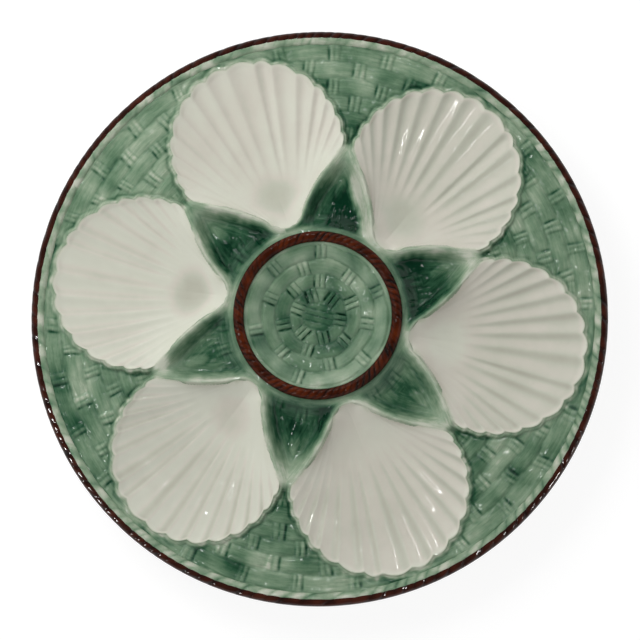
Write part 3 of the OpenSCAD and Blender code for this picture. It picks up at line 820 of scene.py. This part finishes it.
# The rim's rope stays rimInset inside the CAD's, and its brown glaze laps over the parting between
# its two halves by rimLap
rimInset = 0.06
rimLap = 0.45
ropeLooks = {
    "well": {"twist": 1.75, "wander": 0.15, "teeth": 0, "full": (2.3, 2.3), "layDepth": 0.44,
             "pool": 0.3, "valley": 0.6, "wornSide": 0, "perStrand": 16, "partShare": 0.58},
    "rimGreen": {"twist": 1.3, "wander": 1.2, "teeth": 0.05, "full": (2.2, 3.6),
                 "layDepth": 0.3, "pool": 0.17, "valley": 0.28, "wornSide": 0.45,
                 "perStrand": 14, "partShare": 0.58},
    "rimBrown": {"twist": 1.3, "wander": 1.2, "teeth": 0.05, "full": (2.2, 3.6),
                 "layDepth": 0.46, "pool": 0.2, "valley": 0.55, "wornSide": 0,
                 "perStrand": 14, "partShare": 0.58}}


# The rope round the sauce well, and the rim's rope as two pieces of one section, green within and
# brown without
def ropes(wellBrown, rimGreen, rimBrown):
    ropeRing("wellRope", wellR, ropeR, (0, 1, 26), lipZ, rope["height"], rope["strands"],
             ropeLooks["well"], wellBrown, ["well_rope"])
    outerR = rimR - rimInset
    bandShare = (bandR - rimLap - groundR) / (rimR - groundR)
    for name, shares, look, material, slot, node in (
            ("rimRope", (0, bandShare, 22), "rimGreen", rimGreen, "rim_green_glaze", "rim_rope"),
            ("rimBand", (bandShare, 1, 20), "rimBrown", rimBrown, "rim_brown_glaze", "rim_band")):
        ropeRing(name, groundR, outerR, shares, rimZ, rope["rimHeight"], rope["rimStrands"],
                 ropeLooks[look], material, [node])


# Back and foot

# A ring or disc turned round Z from a closed profile of radii and levels. A profile that starts
# beside the axis is closed there at two poles.
def turnedPiece(name, profile, columns, material, nodes):
    profile = np.asarray(profile, float)
    bearing = np.arange(columns) * 2 * np.pi / columns
    x, y = polar(profile[:, :1], bearing[None, :])
    points = listed(x, y, profile[:, 1:] * np.ones((1, columns)))
    rows = len(profile)
    quads = gridQuads(rows, columns, ring=True)
    tris = np.zeros((0, 3), int)
    if profile[0, 0] <= back["poleR"]:
        points = np.concatenate([points, [[0, 0, profile[0, 1]], [0, 0, profile[-1, 1]]]])
        count = rows * columns
        tris = np.concatenate([fanTris(np.arange(columns), count),
                               fanTris(count - columns + np.arange(columns), count + 1, True)])
    else:
        quads = hoopQuads(rows, columns)
    values = {"pool": np.zeros(len(points))}
    buildPiece(name, points, quads[:, ::-1], tris[:, ::-1], values, material, nodes)


foot = {"draft": 0.9, "round": 0.7, "tuck": 0.3, "roundPoints": 7}


# The back is a thin sheet under all wells, and the foot a ring with sloping sides and round edges
def backAndFoot(backGlaze, bareClay):
    flat = np.linspace(back["poleR"], baseR, back["flatRings"])
    curve = np.linspace(baseR, rimR - back["rimGap"], back["curveRings"])[1:]
    radii = np.concatenate([flat, curve])
    under = np.stack([radii, backAt(radii)], -1)
    over = np.stack([radii[::-1], backAt(radii[::-1]) + back["cover"]], -1)
    turnedPiece("turnedBack", np.concatenate([under, over]), back["columns"], backGlaze,
                [])
    half, rootHalf = back["footW"] / 2, back["footW"] / 2 + foot["draft"]
    tuckZ = footTop + foot["tuck"]
    turn = np.linspace(0, np.pi / 2, foot["roundPoints"])
    ease = foot["round"]
    inner = [(footR - half + ease - ease * np.sin(a), ease - ease * np.cos(a)) for a in turn]
    outer = [(footR + half - ease + ease * np.sin(a), ease - ease * np.cos(a)) for a in turn]
    profile = [(footR - rootHalf, tuckZ), (footR - rootHalf, footTop)] + inner[::-1] \
        + outer + [(footR + rootHalf, footTop), (footR + rootHalf, tuckZ)]
    turnedPiece("footRing", profile, back["columns"], bareClay, ["foot_ring"])


# Materials

# An sRGB colour of 0 to 255 as the linear one that sockets take
def linear(colour):
    c = np.array(colour) / 255
    return (*np.where(c <= 0.04045, c / 12.92, ((c + 0.055) / 1.055) ** 2.4), 1)


# Feeds a node's inputs with sockets or values
def feed(tree, node, values):
    for label, value in values.items():
        if isinstance(value, bpy.types.NodeSocket):
            tree.links.new(value, node.inputs[label])
        else:
            node.inputs[label].default_value = value


# A new node, with its settings made before its inputs are fed
def fedNode(tree, kind, values, **settings):
    node = tree.nodes.new(kind)
    for name, value in settings.items():
        setattr(node, name, value)
    feed(tree, node, values)
    return node


# The result of one operation on sockets or numbers
def maths(tree, operation, *given):
    return fedNode(tree, "ShaderNodeMath", dict(enumerate(given)), operation=operation).outputs[0]


# A socket that reads one of the mesh's attributes
def attribute(tree, name, output):
    return fedNode(tree, "ShaderNodeAttribute", {}, attribute_name=name).outputs[output]


# A colour ramp over a socket, each stop with its place and colour
def ramped(tree, value, stops):
    ramp = fedNode(tree, "ShaderNodeValToRGB", {"Fac": value})
    elements = ramp.color_ramp.elements
    while len(elements) < len(stops):
        elements.new(0.5)
    for element, (place, colour) in zip(elements, stops):
        element.position = place
        element.color = linear(colour)
    return ramp.outputs["Color"]


# A new material with its node tree and its shader
def newMaterial(name):
    material = bpy.data.materials.new(name)
    material.use_nodes = True
    tree = material.node_tree
    return material, tree, tree.nodes["Principled BSDF"]


# A new node group with labelled inputs and one output
def newGroup(name, inputs, output):
    group = bpy.data.node_groups.new(name, "ShaderNodeTree")
    for label, kind in inputs:
        group.interface.new_socket(label, in_out="INPUT", socket_type=kind)
    group.interface.new_socket(output[0], in_out="OUTPUT", socket_type=output[1])
    return group, group.nodes.new("NodeGroupInput"), group.nodes.new("NodeGroupOutput")


brushNoise = {"Detail": 4, "Roughness": 0.62}


# Glaze thickness, with the painted shade that the mesh's pool holds: the gathered glaze of the
# mesh, brush strokes along the flow and soft blots
def toneGroup():
    inputs = [("Pool", "NodeSocketFloat"), ("Flow", "NodeSocketVector"),
              ("Place", "NodeSocketVector"), ("Strokes", "NodeSocketFloat"),
              ("Blots", "NodeSocketFloat"), ("Blot Scale", "NodeSocketFloat")]
    group, given, out = newGroup("glazeTone", inputs, ("Tone", "NodeSocketFloat"))
    total = given.outputs["Pool"]
    for vector, amount, scale in (("Flow", "Strokes", None), ("Place", "Blots", "Blot Scale")):
        noise = fedNode(group, "ShaderNodeTexNoise", {
            "Vector": given.outputs[vector], "Scale": given.outputs[scale] if scale else 1,
            **brushNoise})
        centred = maths(group, "SUBTRACT", noise.outputs["Fac"], 0.5)
        total = maths(group, "MULTIPLY_ADD", centred, given.outputs[amount], total)
    group.links.new(total, out.inputs["Tone"])
    return group


# Each wave has its scale and its share of the height, and depth is in millimetres
glazeBump = {"waves": [(130, 1.0), (900, 0.12)], "depth": 0.35}


# A glaze's skin: slow waves and a fine grain, as a bump
def skinGroup():
    inputs = [("Place", "NodeSocketVector"), ("Amount", "NodeSocketFloat")]
    group, given, out = newGroup("glazeSkin", inputs, ("Normal", "NodeSocketVector"))
    total = 0
    for scale, share in glazeBump["waves"]:
        noise = fedNode(group, "ShaderNodeTexNoise",
                        {"Vector": given.outputs["Place"], "Scale": scale, "Detail": 1})
        total = maths(group, "MULTIPLY_ADD", noise.outputs["Fac"], share, total)
    dent = fedNode(group, "ShaderNodeBump", {
        "Distance": glazeBump["depth"] * mm, "Strength": given.outputs["Amount"],
        "Height": total})
    group.links.new(dent.outputs["Normal"], out.inputs["Normal"])
    return group


glazeTone, glazeSkin = toneGroup(), skinGroup()


# A material whose colour is a ramp over the glaze's thickness, which carries painted shade where
# the mesh's pool does. look holds the ramp's stops, the strengths of strokes and blots, roughness,
# specular level and bump, and for the shells the green that runs over their edges.
def glaze(name, look):
    material, tree, shader = newMaterial(name)
    place = tree.nodes.new("ShaderNodeTexCoord").outputs["Object"]
    tone = fedNode(tree, "ShaderNodeGroup", {
        "Pool": attribute(tree, "pool", "Fac"), "Flow": attribute(tree, "flow", "Vector"),
        "Place": place, "Strokes": look["strokes"], "Blots": look["blots"],
        "Blot Scale": look["blotScale"]}, node_tree=glazeTone)
    colour = ramped(tree, tone.outputs["Tone"], look["stops"])
    if "bleed" in look:
        edge = fedNode(tree, "ShaderNodeGroup", {
            "Pool": attribute(tree, "bleed", "Fac"), "Place": place,
            "Blots": look["bleed"]["blots"], "Blot Scale": look["bleed"]["blotScale"]},
            node_tree=glazeTone)
        veil = ramped(tree, edge.outputs["Tone"], look["bleed"]["stops"])
        blend = fedNode(tree, "ShaderNodeMix", {"Factor": 1, "A": colour, "B": veil},
                        data_type="RGBA", blend_type="MULTIPLY")
        colour = blend.outputs["Result"]
    skin = fedNode(tree, "ShaderNodeGroup", {"Place": place, "Amount": look["bump"]},
                   node_tree=glazeSkin)
    feed(tree, shader, {"Base Color": colour, "Roughness": look["rough"],
                        "Specular IOR Level": look["specular"],
                        "Normal": skin.outputs["Normal"]})
    return material


# Ramps run from thin glaze to thick, which also stands for painted shade where the pool holds it
greens = [(0.0, (188, 192, 176)), (0.1, (167, 177, 157)), (0.2, (142, 160, 136)),
          (0.36, (115, 140, 114)), (0.52, (90, 119, 93)), (0.75, (44, 83, 59)),
          (1.0, (2, 44, 26))]
whites = [(0.0, (208, 209, 195)), (0.22, (204, 200, 188)), (0.45, (190, 192, 177)),
          (0.7, (180, 178, 164)), (1.0, (162, 165, 149))]
shellEdge = {"blots": 0.7, "blotScale": 420,
             "stops": [(0.1, (255, 255, 255)), (0.4, (238, 242, 235)), (0.65, (210, 220, 208)),
                       (1.0, (150, 172, 152))]}
white = glaze("whiteGlaze", {"stops": whites, "strokes": 0, "blots": 0.5, "blotScale": 60,
                             "rough": 0.07, "specular": 0.5, "bump": 0.12, "bleed": shellEdge})
green = glaze("basketGreen", {"stops": greens, "strokes": 0.5, "blots": 0.5, "blotScale": 110,
                              "rough": 0.08, "specular": 0.35, "bump": 0.3})
wellGreen = glaze("wellGreen", {"stops": greens, "strokes": 0.2, "blots": 0.4, "blotScale": 110,
                                "rough": 0.08, "specular": 0.45, "bump": 0.3})
rimGreen = glaze("rimGreen", {"stops": greens, "strokes": 0.18, "blots": 0.45, "blotScale": 260,
                              "rough": 0.12, "specular": 0.3, "bump": 0.3})
wellBrown = glaze("wellBrown", {"stops": [(0.0, (92, 38, 14)), (0.35, (60, 22, 8)),
                                          (0.8, (20, 6, 2))],
                                "strokes": 0.35, "blots": 0.5, "blotScale": 260,
                                "rough": 0.13, "specular": 0.15, "bump": 0.3})
rimBrown = glaze("rimBrown", {"stops": [(0.0, (62, 28, 18)), (0.3, (44, 18, 11)),
                                        (0.8, (18, 7, 4))],
                              "strokes": 0.6, "blots": 0.5, "blotScale": 260,
                              "rough": 0.1, "specular": 0.4, "bump": 0.3})
bare = glaze("bareClay", {"stops": [(0.0, (214, 196, 168)), (1.0, (176, 154, 124))],
                          "strokes": 0, "blots": 1.6, "blotScale": 500,
                          "rough": 0.8, "specular": 0.3, "bump": 0.9})

print("materials done")
shellWells(white)
basketGround(green)
sauceWell(wellGreen)
ropes(wellBrown, rimGreen, rimBrown)
backAndFoot(white, bare)
print("pieces done")


# Floor, light and camera

# size is in metres
paper = {"size": 6, "grey": 0.28, "rough": 0.9, "glow": 0.86}


# The floor is white to the camera and in reflections, and keeps a soft shadow of the plate
def whiteFloor():
    bpy.ops.mesh.primitive_plane_add(size=paper["size"], location=(0, 0, 0))
    floor = bpy.context.object
    floor.name = "floor"
    material, tree, shader = newMaterial("floorPaper")
    glow = maths(tree, "MULTIPLY", seenRay(tree), paper["glow"])
    feed(tree, shader, {"Base Color": (*[paper["grey"]] * 3, 1), "Roughness": paper["rough"],
                        "Specular IOR Level": 0, "Emission Color": (1, 1, 1, 1),
                        "Emission Strength": glow})
    floor.data.materials.append(material)


# 1 for rays from the camera and through or off glossy surfaces, else 0
def seenRay(tree):
    path = tree.nodes.new("ShaderNodeLightPath")
    total = path.outputs["Is Camera Ray"]
    for label in ("Is Glossy Ray", "Is Transmission Ray"):
        total = maths(tree, "MAXIMUM", total, path.outputs[label])
    return total


# The world is a room with pale walls and a dark ceiling, so that glaze seen from above keeps its
# depth. Seen straight by the camera it is white.
room = {"walls": 0.72, "ceiling": 0.08, "wallTop": 0.55, "ceilingFrom": 0.9}


# Grey by height above the horizon, a soft step from the walls to the ceiling
def roomWorld():
    world = bpy.data.worlds.new("studio")
    bpy.context.scene.world = world
    world.use_nodes = True
    tree = world.node_tree
    place = tree.nodes.new("ShaderNodeTexCoord").outputs["Generated"]
    split = fedNode(tree, "ShaderNodeSeparateXYZ", {0: place})
    height = fedNode(tree, "ShaderNodeMapRange", {
        "Value": split.outputs["Z"], "From Min": room["wallTop"],
        "From Max": room["ceilingFrom"], "To Min": room["walls"], "To Max": room["ceiling"]},
        interpolation_type="SMOOTHSTEP")
    path = tree.nodes.new("ShaderNodeLightPath")
    strength = maths(tree, "MAXIMUM", height.outputs[0], path.outputs["Is Camera Ray"])
    feed(tree, tree.nodes["Background"], {"Color": (1, 1, 1, 1), "Strength": strength})


# Each lamp's place and size in metres and its power in watts. The wide window shapes the relief
# and isn't seen in the glaze, where only small lamps and tubes show.
lamps = {"softWindow": ((-0.17, 0.17, 0.34), (0.22, 0.22), 0.76),
         "lampLeft": ((-0.5, -0.21, 0.84), (0.03, 0.12), 2.4),
         "lampRight": ((0.52, -0.3, 0.82), (0.03, 0.08), 1.2),
         "tubeBehind": ((-0.18, 0.72, 0.9), (0.6, 0.012), 1.5),
         "tubeLeft": ((-0.53, -0.18, 0.9), (0.65, 0.01), 1.3),
         "tubeRight": ((0.3, 0.35, 0.9), (0.14, 0.01), 0.25)}
seenInShell = {"tubeBehind": "shellWell5", "tubeLeft": "shellWell1", "tubeRight": "shellWell4"}
aimAt = (0, 0, 0.01)


# A lamp aims at the middle of the plate, and the first of its sizes runs towards the plate. lit
# holds the pieces that it lights, where that isn't all of them.
def areaLamp(name, inGlaze=True, lit=None):
    place, size, power = lamps[name]
    label = name if inGlaze or not lit else name + "Soft"
    data = bpy.data.lights.new(label, "AREA")
    data.shape = "RECTANGLE"
    data.size, data.size_y = size
    data.energy = power
    lamp = bpy.data.objects.new(label, data)
    bpy.context.scene.collection.objects.link(lamp)
    lamp.location = place
    lamp.visible_glossy = inGlaze
    aim = np.array(aimAt) - np.array(place)
    yaw = np.arctan2(aim[1], aim[0])
    tilt = np.arccos(-aim[2] / np.linalg.norm(aim))
    lamp.rotation_euler = (0, -tilt, yaw)
    if lit:
        receivers = bpy.data.collections.new(label + "Receivers")
        for piece in lit:
            receivers.objects.link(piece)
        lamp.light_linking.receiver_collection = receivers


# Two lamps light the brown band alone. Each tube is seen in the glaze of one shell and of the green
# and red-brown pieces, and lights the other shells without being seen in them.
def lights():
    areaLamp("softWindow", False)
    band = [piece for piece in pieces if piece.name == "rimBand"]
    face = [piece for piece in pieces if piece.name != "rimBand"]
    areaLamp("lampLeft", lit=band)
    areaLamp("lampRight", lit=band)
    for tube, shown in seenInShell.items():
        glossy = [piece for piece in face if "shell" not in piece.name or piece.name == shown]
        areaLamp(tube, lit=glossy)
        areaLamp(tube, False, [piece for piece in face if piece not in glossy])


whiteFloor()
roomWorld()
lights()
print("light done")

# The camera stands a little below and right of the plate's axis, looking almost straight down. Its
# tilt is in radians.
view = {"place": (30.0, -57.1, 584.3), "tilt": (0.0963, 0.0509, 0.0), "focalPixels": 1331.4,
        "pixels": 640, "sensor": 36.0}
cameraData = bpy.data.cameras.new("camera")
cameraData.sensor_width = view["sensor"]
cameraData.lens = view["focalPixels"] / view["pixels"] * view["sensor"]
camera = bpy.data.objects.new("camera", cameraData)
bpy.context.scene.collection.objects.link(camera)
camera.location = np.array(view["place"]) * mm
camera.rotation_euler = view["tilt"]
bpy.context.scene.camera = camera
bpy.context.scene.view_settings.view_transform = "Standard"
